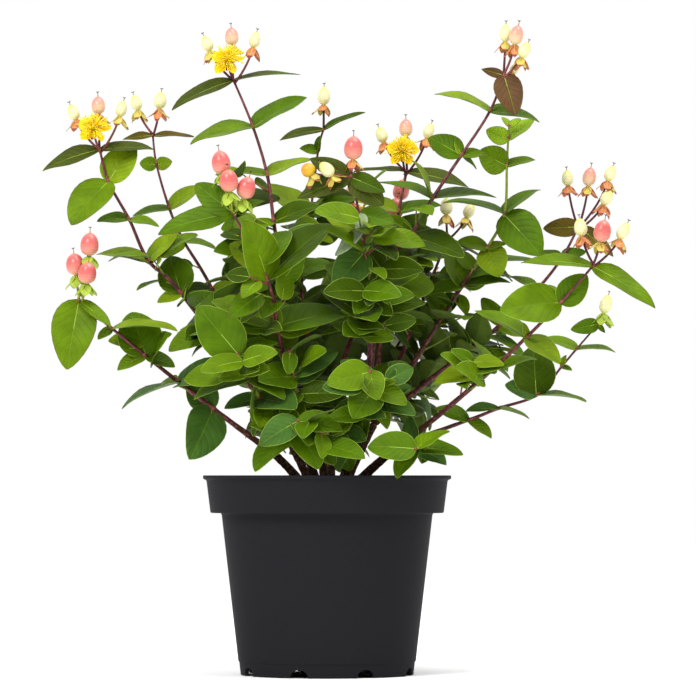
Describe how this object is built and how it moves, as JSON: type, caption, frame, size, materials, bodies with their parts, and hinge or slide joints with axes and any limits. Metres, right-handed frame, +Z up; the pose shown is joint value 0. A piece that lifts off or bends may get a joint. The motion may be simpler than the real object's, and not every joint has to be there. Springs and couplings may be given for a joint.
{
  "type": "potted flowering shrub",
  "caption": "Leafy shrub with berries and small open flowers at the cane tips, standing in a round plastic nursery pot filled with compost.",
  "frame": {"origin": "middle of the pot's flat underside, on the ground that it stands on", "axes": "+Z up, +X to the right and +Y away from the viewer of the picture"},
  "size_m": [0.4642, 0.3188, 0.5025],
  "materials": {
    "pot": "matte",
    "compost": "rough and damp",
    "bark": "rough",
    "young_bark": "satin",
    "foliage": "satin"
  },
  "bodies": {
    "root": {"pot": "pot", "compost": "compost", "stool": "bark", "bough_front_left": "young_bark", "bough_front_middle": "young_bark", "bough_left_back": "young_bark", "bough_left_low": "young_bark", "bough_left_outer": "young_bark", "bough_left_tall": "young_bark", "bough_middle_back": "young_bark", "bough_rear_far_right": "young_bark", "bough_rear_left": "young_bark", "bough_rear_low_left": "young_bark", "bough_rear_low_right": "young_bark", "bough_rear_mid_left": "young_bark", "bough_rear_middle": "young_bark", "bough_rear_right": "young_bark", "bough_right_back": "young_bark", "bough_right_deep": "young_bark", "bough_right_front": "young_bark", "bough_right_inner": "young_bark", "bough_right_low": "young_bark", "bough_right_outer": "young_bark", "bough_right_tall": "young_bark", "bough_rosette_middle": "young_bark", "bough_young_shoot": "young_bark", "bough_young_side": "young_bark", "foliage_front_left": "foliage", "foliage_front_middle": "foliage", "foliage_inner_front": "foliage", "foliage_inner_left": "foliage", "foliage_inner_right": "foliage", "foliage_left_back": "foliage", "foliage_left_low": "foliage", "foliage_left_outer": "foliage", "foliage_left_tall": "foliage", "foliage_middle_back": "foliage", "foliage_rear_far_right": "foliage", "foliage_rear_left": "foliage", "foliage_rear_low_left": "foliage", "foliage_rear_low_middle": "foliage", "foliage_rear_low_right": "foliage", "foliage_rear_mid_left": "foliage", "foliage_rear_middle": "foliage", "foliage_rear_right": "foliage", "foliage_right_back": "foliage", "foliage_right_deep": "foliage", "foliage_right_front": "foliage", "foliage_right_inner": "foliage", "foliage_right_low": "foliage", "foliage_right_outer": "foliage", "foliage_right_tall": "foliage", "foliage_rosette_left": "foliage", "foliage_rosette_middle": "foliage", "foliage_rosette_right": "foliage", "foliage_young_shoot": "foliage", "foliage_young_side": "foliage"}
  },
  "joints": []
}
